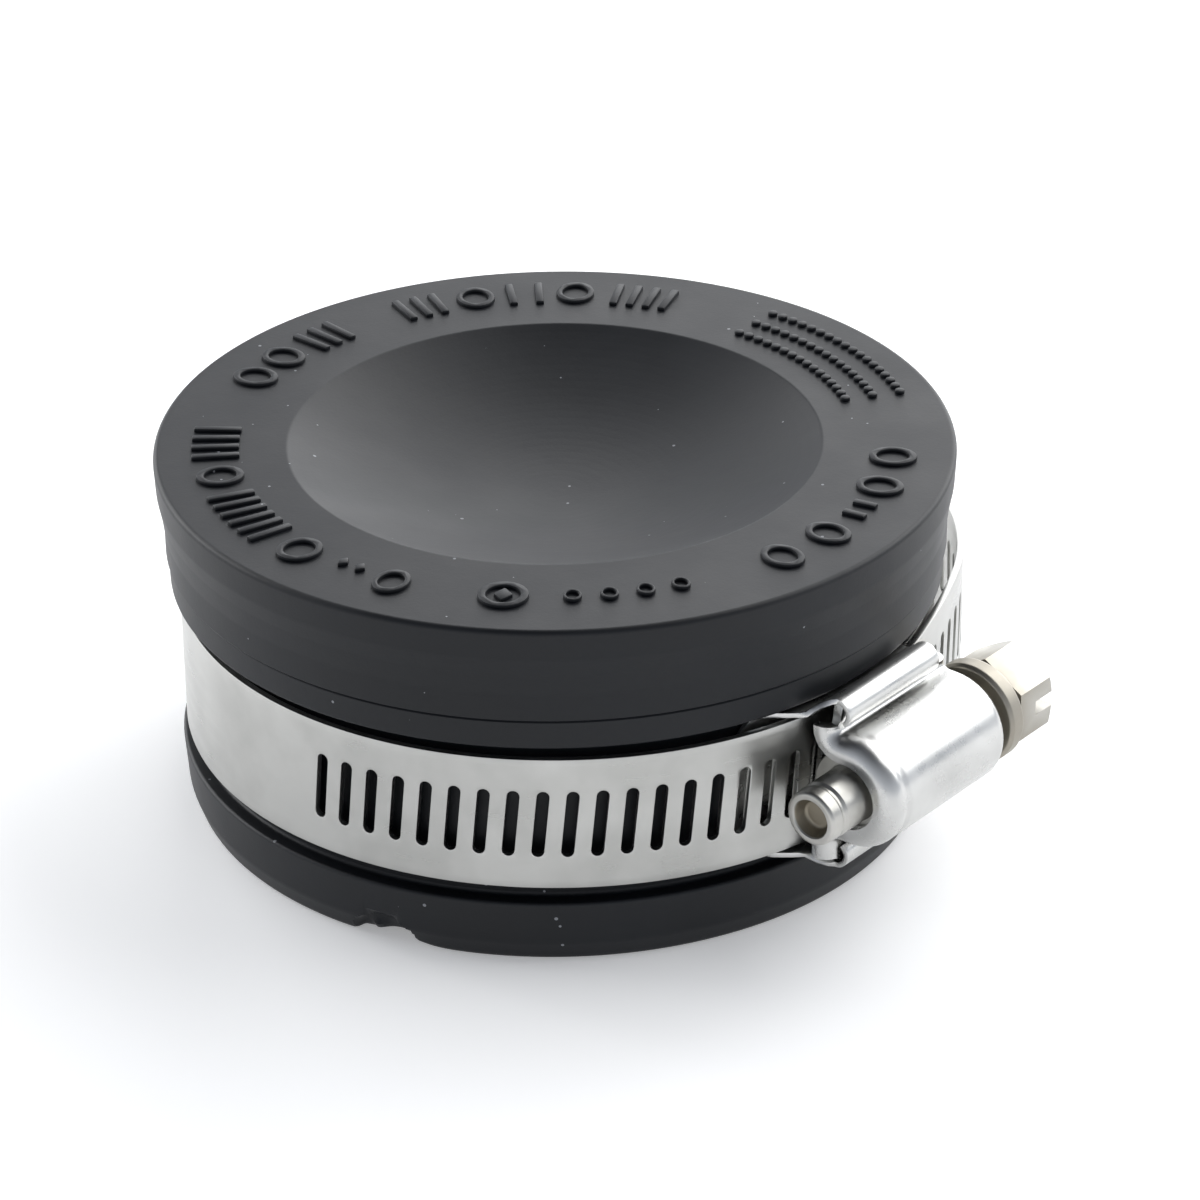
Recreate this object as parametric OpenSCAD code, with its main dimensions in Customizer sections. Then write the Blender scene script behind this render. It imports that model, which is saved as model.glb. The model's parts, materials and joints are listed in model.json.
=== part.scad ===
// Flexible end cap for a 2 inch drain pipe, with its worm-drive hose clamp.
// Origin: centre of the socket's mouth. +Z runs up to the closed end.
// The clamp's housing is on the -Y side, and the screw's head points to +X.

/* [Cap] */
// Outside diameter of the pipe that the socket takes
pipe_d = 60.3; // [48.3:0.1:73]
// Rubber wall under the clamp band
groove_wall = 2.95; // [2:0.05:5]
// How far the side above the groove stands out from the groove's floor
lip_step = 2.05; // [1:0.05:2.1]
// How far the rim of the closed end stands out from the side
rim_flare = 0.85; // [0:0.05:3]
// How far the bead below the groove stands out from the groove's floor
bead_step = 1.5; // [0.8:0.05:2]
// Height of the bead below the groove
bead_h = 6.3; // [4:0.1:12]
// Height of the cap above the groove
head_h = 11.9; // [9.5:0.1:20]
// Thickness of the closed end at the middle of the dish
floor_t = 3.2; // [2:0.1:6]
// Diameter of the dish in the closed end
dish_d = 48; // [30:0.5:52]
// Depth of the dish
dish_depth = 5.5; // [2:0.1:6]
// Height of the raised marks round the dish
mark_h = 0.35; // [0.2:0.05:0.8]

/* [Clamp band] */
// Width of the band
band_w = 12.7; // [9:0.1:16]
// Thickness of the band
band_t = 0.6; // [0.4:0.05:0.8]
// Gap between the rubber and the band on the side away from the housing
back_gap = 0.35; // [0.2:0.05:1]
// How far the band's centre is shifted towards the housing
clamp_shift = 0.55; // [0.45:0.05:0.8]
// Length of the slotted stretch before the housing
slotted_len = 52; // [20:1:90]
// Length of the free end past the middle of the housing
tail_len = 48; // [30:1:60]
// Length over which the free end springs away from the loop
spring_len = 12; // [8:0.5:14]
// Radius of the band where it springs away
spring_r = 90; // [50:1:200]
// Radius of the free end beyond that
tail_r = 30; // [26:0.5:40]

/* [Worm screw] */
// Distance between two threads, and between two slots
pitch = 2.54; // [2:0.01:3.2]
// Outside diameter of the thread
worm_d = 8.2; // [6.8:0.1:10]
// How far the thread reaches into the band
worm_bite = 0.5; // [0.3:0.05:0.5]
// Width across the flats of the hexagon head
hex_af = 8; // [6:0.1:9.6]
// Height of the hexagon head
hex_h = 4.8; // [3:0.1:8]
// Width of the driver slot
driver_slot_w = 1.4; // [0.8:0.1:2]

/* [Housing] */
// Thickness of the housing's sheet
sheet_t = 0.9; // [0.6:0.05:1.2]
// Length of the housing along the screw
housing_len = 17; // [15.5:0.1:22]
// Thickness of the saddle under the band
saddle_t = 0.45; // [0.3:0.05:0.6]
// Outside diameter of the saddle's rolled edges
roll_d = 2.8; // [2.4:0.1:3]
// Length of the saddle's rolled edges
roll_len = 12.9; // [8:0.1:14]
// Length of the saddle's lip in front of its rolled edges
lip_len = 7; // [5:0.5:12]

/* [Clearances] */
// Gap between the fixed end and the band that slides over it
slide_gap = 0.15; // [0.1:0.01:0.3]
// Gap at each edge of the band
edge_gap = 0.3; // [0.15:0.05:0.5]
// Gap round the thread inside the housing
thread_gap = 0.25; // [0.15:0.05:0.5]
// Radial clearance of the screw's journal
journal_gap = 0.05; // [0.02:0.01:0.1]

/* [Hidden] */
$fn = 96;
rubber = "#37383c";
steel = "#c9c9c6";
bright_steel = "#dcdcda";
// How far pieces of one solid run into each other, and how far cuts run out
tiny = 0.05;
over = 1;

// Cap radii and heights
socket_r = pipe_d / 2;
groove_r = socket_r + groove_wall;
bead_r = groove_r + bead_step;
bead_taper = 0.9;
lip_draft = 0.1;
lip_draft_h = 1.2;
rim_draft = 0.15;
lip_r = groove_r + lip_step;
rim_r = lip_r + rim_flare;

// Radii of the layers in the clamp, all about the clamp's own centre
band_ri = groove_r + back_gap + clamp_shift;
band_ro = band_ri + band_t;
band_rm = band_ri + band_t / 2;
fixed_ro = band_ri - slide_gap;
fixed_ri = fixed_ro - band_t;
saddle_ri = fixed_ri - saddle_t;

// Worm
worm_r = worm_d / 2;
thread_depth = 0.95;
root_r = worm_r - thread_depth;
core_step = 0.15;
core_r = root_r + core_step;
crest_w = 0.5;
flank_w = 0.2;
axis_n = band_ro + worm_r - worm_bite;

// Housing
barrel_ri = worm_r + thread_gap;
barrel_ro = barrel_ri + sheet_t;
housing_back = 9.2;
housing_front = housing_back - housing_len;
roll_r = roll_d / 2;
roll_t = 0.45;
roll_gap = 0.35;
roll_u = max(band_w / 2 + edge_gap + roll_t / 2, barrel_ro + roll_r + roll_gap);
foot_lift = 1.25;
foot_n = band_ro + foot_lift;
roll_n = foot_n + sheet_t / 2;
foot_gap = 0.2;
foot_over = 1;
foot_u = roll_u + roll_r - roll_t - foot_gap;
ramp_len = 4.5;
lip_corner_r = 3;
wing_u = roll_u + roll_t / 2;
saddle_w = 2 * wing_u;

// Heights: the groove leaves room for the saddle above and below the band
groove_top_gap = 0.2;
groove_low_gap = 1;
groove_w = saddle_w + groove_top_gap + groove_low_gap;
groove_top = bead_h + groove_w;
band_z = groove_top - groove_top_gap - saddle_w / 2;
cap_h = groove_top + head_h;
socket_depth = cap_h - dish_depth - floor_t;
dish_r = dish_d / 2;
dish_ball_r = (dish_r * dish_r + dish_depth * dish_depth) / (2 * dish_depth);
rim_h = 3;
flare_h = 3.4;

// Screw stations along its axis, from the middle of the housing
tip_x = -12.6;
pilot_r = 2.6;
cup_r = 1.65;
cup_depth = 1.2;
pilot_gap = 0.5;
thrust_step = 0.2;
thrust_r = worm_r - thrust_step;
thrust_gap = 0.1;
neck_r = 3.3;
collar_x = 10.4;
collar_t = 2.4;
collar_r = 4.8;
driver_slot_depth = 2.6;
thrust_t = 0.6;
thread_sides = 24;
front_x = housing_front + sheet_t + thrust_gap;
back_x = housing_back - sheet_t - thrust_gap;
// The thread starts a quarter of a pitch off a slot, so that it meets the slots
thread_phase = 0.25;
thread_x = -(floor((-front_x - thrust_t) / pitch - thread_phase) + thread_phase) * pitch;
thread_pitches = floor((back_x - thrust_t - thread_x) / pitch);

// Slots
slot_w = 1.1;
slot_len = 6.5;
slot_slant = atan(pitch / (PI * worm_d));
first_slot = -floor(slotted_len / pitch) - 0.5;
tail_margin = 4;
last_slot = floor((tail_len - tail_margin) / pitch) - 0.5;
bend_len = 4 * pitch;
bend_turn = bend_len / band_rm * 180 / PI;
spring_turn = spring_len / spring_r * 180 / PI;
tail_from = bend_len + spring_len;
bend_point = band_rm * outwards(bend_turn);
tail_point = bend_point + spring_r * (outwards(bend_turn + spring_turn) - outwards(bend_turn));

// The loop is opened under the free end, where the free end has left room
lap_gap = 0.5;
lap_from = bend_len + sqrt(2 * (band_t + lap_gap) / (1 / band_rm - 1 / spring_r));
band_start = lap_from / band_rm * 180 / PI;
loop_start = (band_start - 360) * band_rm * PI / 180;
// Each flat of the band is one slot pitch long
band_stations = concat(
    [loop_start],
    [for (i = [ceil(loop_start / pitch) : floor(tail_len / pitch)]) i * pitch],
    [tail_len]
);
fixed_end_under = 14;
fixed_end_stop = band_start + fixed_end_under;
fixed_end_start = -11;
tail_corner_r = 3;

// Marks on the closed end
mark_r = (dish_r + rim_r) / 2;
mark_len = 4.4;
mark_w = 0.9;
mark_step = 5.2;
mark_arcs = [[-62, 13], [22, 13], [104, 6], [146, 9], [206, 6], [244, 3]];

// A ring sector between two radii, round the Z axis. Angles run from -Y towards +X.
module sector(r_in, r_out, low, high, start, stop) {
    rotate([0, 0, start - 90])
        rotate_extrude(angle = stop - start)
            translate([r_in, low])
                square([r_out - r_in, high - low]);
}

// Moves its children to the clamp's centre, at the band's mid height
module at_clamp() {
    translate([0, -clamp_shift, band_z]) children();
}

// Turns its children so that their Z runs along the screw, towards its head
module along_screw() {
    translate([0, -axis_n, 0]) rotate([0, 90, 0]) children();
}

// A cylinder between two stations on the screw
module journal(from, to, r) {
    translate([0, 0, from]) cylinder(h = to - from, r = r);
}

// Turns a flat shape into one in the cross-section of the housing: X is the
// distance outwards from the screw's axis, and Y is the height.
module housing_section(from, to) {
    translate([from, -axis_n, 0])
        rotate([90, 0, 90])
            mirror([1, 0, 0])
                linear_extrude(to - from) children();
}

module cap_outline() {
    difference() {
        polygon([
            [socket_r, 0],
            [bead_r - bead_taper, 0],
            [bead_r - bead_taper / 3, bead_h / 3],
            [bead_r, bead_h],
            [groove_r, bead_h],
            [groove_r, groove_top],
            [lip_r - lip_draft, groove_top],
            [lip_r, groove_top + lip_draft_h],
            [lip_r, cap_h - rim_h - flare_h],
            [lip_r + rim_flare / 2, cap_h - rim_h - flare_h / 3],
            [rim_r - rim_draft, cap_h - rim_h],
            [rim_r, cap_h],
            [0, cap_h],
            [0, socket_depth],
            [socket_r, socket_depth]
        ]);
        translate([0, cap_h - dish_depth + dish_ball_r]) circle(dish_ball_r);
        translate([-dish_ball_r, 0]) square([dish_ball_r, cap_h + over]);
    }
}

// One raised mark, pointing outwards
module top_mark(turn) {
    rotate([0, 0, turn])
        translate([0, mark_r, cap_h + (mark_h - tiny) / 2])
            cube([mark_w, mark_len, mark_h + tiny], center = true);
}

module rubber_cap() {
    color(rubber) {
        rotate_extrude() cap_outline();
        for (arc = mark_arcs)
            for (i = [0 : arc[1] - 1])
                top_mark(-arc[0] - i * mark_step);
    }
}

// One slot through a strip that lies along X at the origin
module slot_cut() {
    straight = slot_len - slot_w;
    translate([0, band_t, 0])
        rotate([90, 0, 0])
            linear_extrude(2 * band_t)
                rotate(-slot_slant)
                    union() {
                        square([slot_w, straight], center = true);
                        translate([0, straight / 2]) circle(slot_w / 2, $fn = 24);
                        translate([0, -straight / 2]) circle(slot_w / 2, $fn = 24);
                    }
}

// Rounds the upper corner of a strip that ends at the origin
module tail_corner() {
    translate([-tail_corner_r, band_t, band_w / 2 - tail_corner_r])
        rotate([90, 0, 0])
            linear_extrude(2 * band_t)
                difference() {
                    square([tail_corner_r + over, tail_corner_r + over]);
                    circle(tail_corner_r, $fn = 48);
                }
}

// The band's path: an arc that springs away past the housing. Distances run
// along the band from the middle of the housing towards the free end.
function outwards(angle) = [sin(angle), -cos(angle)];
function heading(distance) =
    distance < bend_len ? distance / band_rm * 180 / PI :
    distance < tail_from ? bend_turn + (distance - bend_len) / spring_r * 180 / PI :
    bend_turn + spring_turn + (distance - tail_from) / tail_r * 180 / PI;
function on_band(distance) =
    let (out = outwards(heading(distance)))
    distance < bend_len ? band_rm * out :
    distance < tail_from ? bend_point + spring_r * (out - outwards(bend_turn)) :
    tail_point + tail_r * (out - outwards(bend_turn + spring_turn));
function band_edge(side) =
    [for (at = band_stations) on_band(at) + side * band_t / 2 * outwards(heading(at))];
function reversed(list) = [for (i = [len(list) - 1 : -1 : 0]) list[i]];

// Moves its children, drawn at the origin, to a place on the band
module along_band(distance) {
    translate(on_band(distance)) rotate([0, 0, heading(distance)]) children();
}

module clamp_band() {
    color(steel) at_clamp() difference() {
        translate([0, 0, -band_w / 2])
            linear_extrude(band_w)
                polygon(concat(band_edge(1), reversed(band_edge(-1))));
        for (i = [first_slot : last_slot])
            along_band(i * pitch) slot_cut();
        along_band(tail_len) {
            tail_corner();
            mirror([0, 0, 1]) tail_corner();
        }
    }
}

module band_fixed_end() {
    color(steel) at_clamp()
        sector(fixed_ri, fixed_ro, -band_w / 2, band_w / 2, fixed_end_start, fixed_end_stop);
}

// Cross-section of the barrel with its two walls down to the feet
module barrel_outline(r) {
    down = axis_n - foot_n;
    intersection() {
        union() {
            circle(r);
            translate([-down, -r]) square([down, 2 * r]);
        }
        translate([-down, -r - over]) square([down + r + over, 2 * (r + over)]);
    }
}

// The two feet that run outwards from the walls
module feet_outline() {
    down = axis_n - foot_n;
    for (side = [-1, 1])
        translate([-down, side > 0 ? barrel_ri : -foot_u])
            square([sheet_t, foot_u - barrel_ri]);
}

module worm_housing() {
    color(bright_steel) at_clamp() difference() {
        union() {
            housing_section(housing_front, housing_back)
                difference() {
                    barrel_outline(barrel_ro);
                    barrel_outline(barrel_ri);
                }
            housing_section(housing_front, housing_front + sheet_t) barrel_outline(barrel_ri + tiny);
            housing_section(housing_back - sheet_t, housing_back) barrel_outline(barrel_ri + tiny);
            housing_section(-roll_len / 2 - foot_over, roll_len / 2 + foot_over) feet_outline();
        }
        along_screw() {
            journal(housing_front - over, housing_front + sheet_t + over, pilot_r + pilot_gap);
            journal(housing_back - sheet_t - over, housing_back + over, neck_r + journal_gap);
        }
    }
}

// One rolled edge of the saddle, open towards the barrel
module roll_outline() {
    down = axis_n - roll_n;
    translate([-down, roll_u])
        difference() {
            circle(roll_r, $fn = 48);
            circle(roll_r - roll_t, $fn = 48);
            translate([-sheet_t / 2, -roll_r - over]) square([sheet_t, roll_r + over]);
        }
}

// One wing that rises from the strap to its rolled edge, with a sloping front
module wing() {
    half = roll_len / 2;
    low_n = fixed_ri * cos((half + ramp_len) / fixed_ri * 180 / PI);
    top_n = roll_n - roll_r + tiny;
    sunk = 2;
    translate([0, 0, wing_u - roll_t])
        linear_extrude(roll_t)
            difference() {
                polygon([
                    [-half - ramp_len, -low_n + sunk],
                    [-half - ramp_len, -low_n],
                    [-half, -top_n],
                    [half, -top_n],
                    [half, -low_n + sunk]
                ]);
                circle(saddle_ri + saddle_t / 2);
            }
}

// What is cut off to round the upper corner of the saddle's lip
module lip_cut() {
    translate([0, -saddle_ri + over, 0])
        rotate([90, 0, 0])
            linear_extrude(saddle_t + 2 * over)
                translate([lip_corner_r, saddle_w / 2 - lip_corner_r])
                    difference() {
                        translate([-lip_corner_r - over, 0])
                            square([lip_corner_r + over, lip_corner_r + over]);
                        circle(lip_corner_r, $fn = 48);
                    }
}

module housing_saddle() {
    reach = (roll_len / 2 + lip_len) / fixed_ri * 180 / PI;
    back = roll_len / 2 / fixed_ri * 180 / PI + 1;
    color(steel) at_clamp() {
        difference() {
            sector(saddle_ri, fixed_ri, -saddle_w / 2, saddle_w / 2, -reach, back);
            for (side = [0, 1])
                mirror([0, 0, side])
                    rotate([0, 0, -reach])
                        lip_cut();
        }
        for (side = [0, 1])
            mirror([0, 0, side]) {
                housing_section(-roll_len / 2, roll_len / 2) roll_outline();
                wing();
            }
    }
}

// Right-hand thread with its core, along Z. The root's edge follows the helix,
// and the ridge stands beside it. A flat ring closes each end.
module worm_thread() {
    sides = thread_sides;
    turns = thread_pitches - 1;
    rings = turns * sides;
    edge = (pitch - crest_w) / 2;
    ridge = [
        [edge - flank_w, root_r],
        [edge, worm_r],
        [edge + crest_w, worm_r],
        [edge + crest_w + flank_w, root_r]
    ];
    function place(i, x, r) = [r * cos(i * 360 / sides), r * sin(i * 360 / sides), x];
    function drawn(i) = thread_x + pitch * i / sides;
    points = concat(
        [for (i = [0 : rings + sides]) place(i, drawn(i), root_r)],
        [for (i = [0 : rings], k = [0 : 3]) place(i, drawn(i) + ridge[k][0], ridge[k][1])],
        [for (i = [1 : sides - 1]) place(i, thread_x, root_r)],
        [for (i = [1 : sides - 1]) place(i, thread_x + pitch * thread_pitches, root_r)]
    );
    // Numbers of the points: k is 0 on the root's edge, 1 to 4 on the ridge,
    // and 5 on the root's edge one turn on
    ridge_0 = rings + sides + 1;
    low_0 = ridge_0 + 4 * (rings + 1);
    high_0 = low_0 + sides - 1;
    function at(i, k) = k == 0 ? i : k == 5 ? i + sides : ridge_0 + 4 * i + k - 1;
    function low(i) = i % sides == 0 ? 0 : low_0 + i - 1;
    function high(i) = i % sides == 0 ? rings + sides : high_0 + i - 1;
    // At each end the core's side also meets the foot of the ridge's blunt face
    faces = concat(
        [for (i = [0 : rings - 1], k = [0 : 4]) [at(i, k), at(i, k + 1), at(i + 1, k + 1), at(i + 1, k)]],
        [[low(0), at(1, 0), low(1)]],
        [for (i = [1 : sides - 2]) [low(i), at(i, 0), at(i + 1, 0), low(i + 1)]],
        [for (pair = [[5, 4], [4, 1], [1, 0]]) [at(sides - 1, 0), at(0, pair[0]), at(0, pair[1])]],
        [[at(sides - 1, 0), low(0), low(sides - 1)]],
        [for (pair = [[0, 1], [1, 4], [4, 5]]) [at(rings + 1, 0), at(rings, pair[0]), at(rings, pair[1])]],
        [[at(rings + 1, 0), high(0), high(1)]],
        [for (i = [1 : sides - 2]) [at(rings + i, 0), high(i), high(i + 1), at(rings + i + 1, 0)]],
        [[at(rings + sides - 1, 0), high(sides - 1), high(0)]],
        [[for (k = [4 : -1 : 1]) at(0, k)]],
        [[for (k = [1 : 4]) at(rings, k)]],
        [[for (i = [0 : sides - 1]) low(i)]],
        [[for (i = [sides - 1 : -1 : 0]) high(i)]]
    );
    polyhedron(points, faces, convexity = 8);
}

module worm_screw() {
    head = collar_x + collar_t;
    color(bright_steel) at_clamp() along_screw() difference() {
        union() {
            journal(tip_x, front_x + tiny, pilot_r);
            journal(front_x, front_x + thrust_t, thrust_r);
            journal(front_x, thread_x + tiny, core_r);
            worm_thread();
            journal(thread_x + pitch * thread_pitches - tiny, back_x, core_r);
            journal(back_x - thrust_t, back_x, thrust_r);
            journal(back_x - tiny, collar_x + tiny, neck_r);
            journal(collar_x, head, collar_r);
            translate([0, 0, head - tiny])
                cylinder(h = hex_h + tiny, d = hex_af / cos(30), $fn = 6);
        }
        journal(tip_x - over, tip_x + cup_depth, cup_r);
        translate([-hex_af, -driver_slot_w / 2, head + hex_h - driver_slot_depth])
            cube([2 * hex_af, driver_slot_w, driver_slot_depth + over]);
    }
}

rubber_cap();
clamp_band();
band_fixed_end();
worm_housing();
housing_saddle();
worm_screw();
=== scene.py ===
import json
import math

import bmesh
import bpy
from mathutils import Matrix, Vector


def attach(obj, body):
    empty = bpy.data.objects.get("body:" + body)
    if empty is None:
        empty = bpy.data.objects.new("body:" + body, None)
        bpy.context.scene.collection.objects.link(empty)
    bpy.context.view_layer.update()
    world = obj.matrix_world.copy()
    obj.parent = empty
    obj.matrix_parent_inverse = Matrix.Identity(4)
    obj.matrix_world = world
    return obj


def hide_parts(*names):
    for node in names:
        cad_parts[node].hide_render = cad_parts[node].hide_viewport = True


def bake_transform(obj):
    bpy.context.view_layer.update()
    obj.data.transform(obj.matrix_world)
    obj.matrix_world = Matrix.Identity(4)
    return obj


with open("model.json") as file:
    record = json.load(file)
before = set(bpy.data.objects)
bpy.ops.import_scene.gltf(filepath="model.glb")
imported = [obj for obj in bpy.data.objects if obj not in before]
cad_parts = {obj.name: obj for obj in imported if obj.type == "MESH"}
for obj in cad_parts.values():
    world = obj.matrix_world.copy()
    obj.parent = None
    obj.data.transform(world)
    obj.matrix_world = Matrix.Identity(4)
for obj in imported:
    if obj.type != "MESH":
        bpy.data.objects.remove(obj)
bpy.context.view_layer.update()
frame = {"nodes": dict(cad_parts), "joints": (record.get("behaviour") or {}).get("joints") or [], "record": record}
mm = 0.001

# places that the frame gives
jointPlaces = {j["name"]: Vector(j["pos_m"]) for j in frame["joints"]}
mountPlaces = {m["name"]: m for m in frame["record"]["mounts"]}
clampCentre = jointPlaces["band_takeup"] / mm
axisOut = clampCentre.y - jointPlaces["screw_spin"].y / mm  # from the clamp's centre out to the screw's axis
socketR = mountPlaces["pipe_socket"]["dims"]["r_mm"]
socketDepth = mountPlaces["pipe_socket"]["dims"]["length_mm"]
print("frame loaded:", ", ".join(sorted(frame["nodes"])))

# camera, floor and light
studio = {
    "azimuth": -50.0,  # degrees, round towards the clamp's housing
    "elevation": 28.59,
    "distance": 444.4,  # mm from the aim point
    "lens": 146.05,  # mm, on a 36 mm sensor
    "roll": -0.633,
    "aimRight": 3.88,  # mm to the right of the cap's axis
    "aimHeight": 17.25,
    "floorColour": "#f5f5f5",
    "floorSize": 4.0,  # m
    "floorGlow": 0.3,  # a light table, so that shadows stay faint
    "skyColours": ("#e4eaf4", "#3a3d44"),  # at the horizon and overhead
    "skyStrength": 0.9,
}
softboxes = [  # name, azimuth, elevation, distance in m, size in m, watts
    ("behind", 104, 20, 0.9, 1.0, 8.0),
    ("behindLeft", 172, 24, 0.9, 0.6, 3.5),
    ("rightHigh", 62, 42, 0.8, 0.8, 5.0),
    ("leftSide", -160, 22, 0.8, 0.4, 2.2),
]


def backVector(azimuth, elevation):  # from the object towards an eye at that azimuth
    a, e = math.radians(azimuth), math.radians(elevation)
    return Vector((math.sin(a) * math.cos(e), -math.cos(a) * math.cos(e), math.sin(e)))


def linear(hexColour):  # sRGB hex to linear RGBA
    parts = [int(hexColour[i:i + 2], 16) / 255 for i in (1, 3, 5)]
    return [p / 12.92 if p <= 0.04045 else ((p + 0.055) / 1.055) ** 2.4 for p in parts] + [1.0]


def addNode(tree, kind, settings=None, links=None):
    node = tree.nodes.new(kind)
    for name, value in (settings or {}).items():
        if isinstance(name, str) and hasattr(node, name):
            setattr(node, name, value)
        else:
            node.inputs[name].default_value = value
    for name, source in (links or {}).items():
        tree.links.new(source, node.inputs[name])
    return node


def addObject(name, data):
    added = bpy.data.objects.new(name, data)
    bpy.context.scene.collection.objects.link(added)
    return added


def makeCamera():
    back = backVector(studio["azimuth"], studio["elevation"])
    right = Vector((0, 0, 1)).cross(back).normalized()
    up = back.cross(right)
    roll = math.radians(studio["roll"])
    camX = math.cos(roll) * right + math.sin(roll) * up
    camY = math.cos(roll) * up - math.sin(roll) * right
    aim = right * studio["aimRight"] * mm + Vector((0, 0, studio["aimHeight"] * mm))
    data = bpy.data.cameras.new("camera")
    data.sensor_width = 36
    data.lens = studio["lens"]
    data.clip_start = 0.01
    data.clip_end = 10
    camera = addObject("camera", data)
    turn = Matrix((camX, camY, back)).transposed().to_4x4()
    camera.matrix_world = Matrix.Translation(aim + back * studio["distance"] * mm) @ turn
    bpy.context.scene.camera = camera


def makeLights():
    for name, azimuth, elevation, distance, size, watts in softboxes:
        data = bpy.data.lights.new(name, "AREA")
        data.shape = "SQUARE"
        data.size = size
        data.energy = watts
        light = addObject(name, data)
        back = backVector(azimuth, elevation)
        turn = back.to_track_quat("Z", "Y").to_matrix().to_4x4()
        light.matrix_world = Matrix.Translation(back * distance) @ turn
    world = bpy.data.worlds.new("studioSky")
    world.use_nodes = True
    tree = world.node_tree
    sky = tree.nodes["Background"]
    sky.inputs["Strength"].default_value = studio["skyStrength"]
    way = addNode(tree, "ShaderNodeTexCoord").outputs["Generated"]
    height = addNode(tree, "ShaderNodeSeparateXYZ", links={0: way}).outputs[2]
    shade = addNode(tree, "ShaderNodeValToRGB", links={0: height})
    for stop, colour in zip(shade.color_ramp.elements, studio["skyColours"]):
        stop.color = linear(colour)
    tree.links.new(shade.outputs[0], sky.inputs["Color"])
    bpy.context.scene.world = world
    bpy.context.scene.view_settings.view_transform = "Standard"


def newMaterial(name):
    material = bpy.data.materials.new(name)
    material.use_nodes = True
    return material, material.node_tree, material.node_tree.nodes["Principled BSDF"]


def makeFloor():
    material, tree, shader = newMaterial("paintedBoard")  # flat pale paint, no gloss
    shader.inputs["Base Color"].default_value = linear(studio["floorColour"])
    shader.inputs["Roughness"].default_value = 0.9
    shader.inputs["Emission Color"].default_value = linear(studio["floorColour"])
    shader.inputs["Emission Strength"].default_value = studio["floorGlow"]
    half = studio["floorSize"] / 2
    mesh = bpy.data.meshes.new("floor")
    corners = [(-half, -half, 0), (half, -half, 0), (half, half, 0), (-half, half, 0)]
    mesh.from_pydata(corners, [], [(0, 1, 2, 3)])
    mesh.materials.append(material)
    addObject("floor", mesh)


makeCamera()
makeLights()
makeFloor()
print("camera, lights and floor made")


# mesh helpers: all shapes are drawn in mm and become metres in asObject
def outwards(angle):  # angle in degrees from the housing's middle, positive towards the screw's head
    a = math.radians(angle)
    return Vector((math.sin(a), -math.cos(a), 0))


def atClamp(x, out, height):  # x along the screw, out from the clamp's centre, height from mid band
    return clampCentre + Vector((x, -out, height))


# corners are (a, b, radius). Long stretches are divided, with a point near each end to keep the shading flat
def roundedLine(corners, stepAngle=15, longest=1.2, hold=0.06):
    parts = []
    for i, (a, b, radius) in enumerate(corners):
        corner = Vector((a, b))
        if radius == 0 or i in (0, len(corners) - 1):
            parts.append([corner])
            continue
        back = (Vector(corners[i - 1][:2]) - corner).normalized()
        on = (Vector(corners[i + 1][:2]) - corner).normalized()
        half = back.angle(on) / 2
        centre = corner + (back + on).normalized() * radius / math.sin(half)
        first = corner + back * radius / math.tan(half) - centre
        turn = math.pi - 2 * half
        side = 1 if (-back).cross(on) > 0 else -1
        steps = max(2, round(math.degrees(turn) / stepAngle))
        parts.append([centre + Matrix.Rotation(side * turn * k / steps, 2) @ first for k in range(steps + 1)])
    line = []
    for part, following in zip(parts, parts[1:] + [None]):
        line += part
        if following is None:
            break
        start, end = part[-1], following[0]
        length = (end - start).length
        if length > 4 * hold:
            inner = length - 2 * hold
            count = max(1, math.ceil(inner / longest))
            line += [start.lerp(end, (hold + inner * k / count) / length) for k in range(count + 1)]
    return line


def gridFaces(bm, rows, closed=False):  # faces between rows of vertices; a row of one vertex is a pole
    for low, high in zip(rows, rows[1:]):
        count = max(len(low), len(high))
        for i in range(count if closed else count - 1):
            j = (i + 1) % count
            corners = [low[i % len(low)], low[j % len(low)], high[j % len(high)], high[i % len(high)]]
            bm.faces.new(list(dict.fromkeys(corners)))


def spin(bm, line, angles, place):  # turns a line of (radius, along) all the way round
    rows = []
    for radius, along in line:
        turns = angles if radius > 1e-6 else angles[:1]
        rows.append([bm.verts.new(place(radius, along, a)) for a in turns])
    gridFaces(bm, rows, closed=True)


def roundTurns(count):
    return [360 * i / count for i in range(count)]


def softenEdges(bm, width, minAngle=40, keep=None):  # a narrow round on sharp edges, but not where keep says
    def isSharp(edge):
        return len(edge.link_faces) == 2 and math.degrees(edge.calc_face_angle(0)) > minAngle

    edges = [e for e in bm.edges if isSharp(e) and not (keep and keep(e))]
    bmesh.ops.bevel(bm, geom=edges, offset=width, segments=2, profile=0.5, affect="EDGES", clamp_overlap=True)


def outward(bm):
    bmesh.ops.recalc_face_normals(bm, faces=bm.faces)
    if bm.calc_volume(signed=True) < 0:
        bmesh.ops.reverse_faces(bm, faces=bm.faces)


def asObject(bm, name, material, sharpAngle=35):
    bmesh.ops.scale(bm, vec=(mm, mm, mm), verts=bm.verts)
    mesh = bpy.data.meshes.new(name)
    bm.to_mesh(mesh)
    bm.free()
    mesh.materials.clear()
    mesh.materials.append(material)
    mesh.shade_smooth()
    mesh.set_sharp_from_angle(angle=math.radians(sharpAngle))
    return addObject(name, mesh)


def absorb(bm, other):  # puts another bmesh's shape into this one
    mesh = bpy.data.meshes.new("part")
    other.to_mesh(mesh)
    other.free()
    bm.from_mesh(mesh)
    bpy.data.meshes.remove(mesh)


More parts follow.
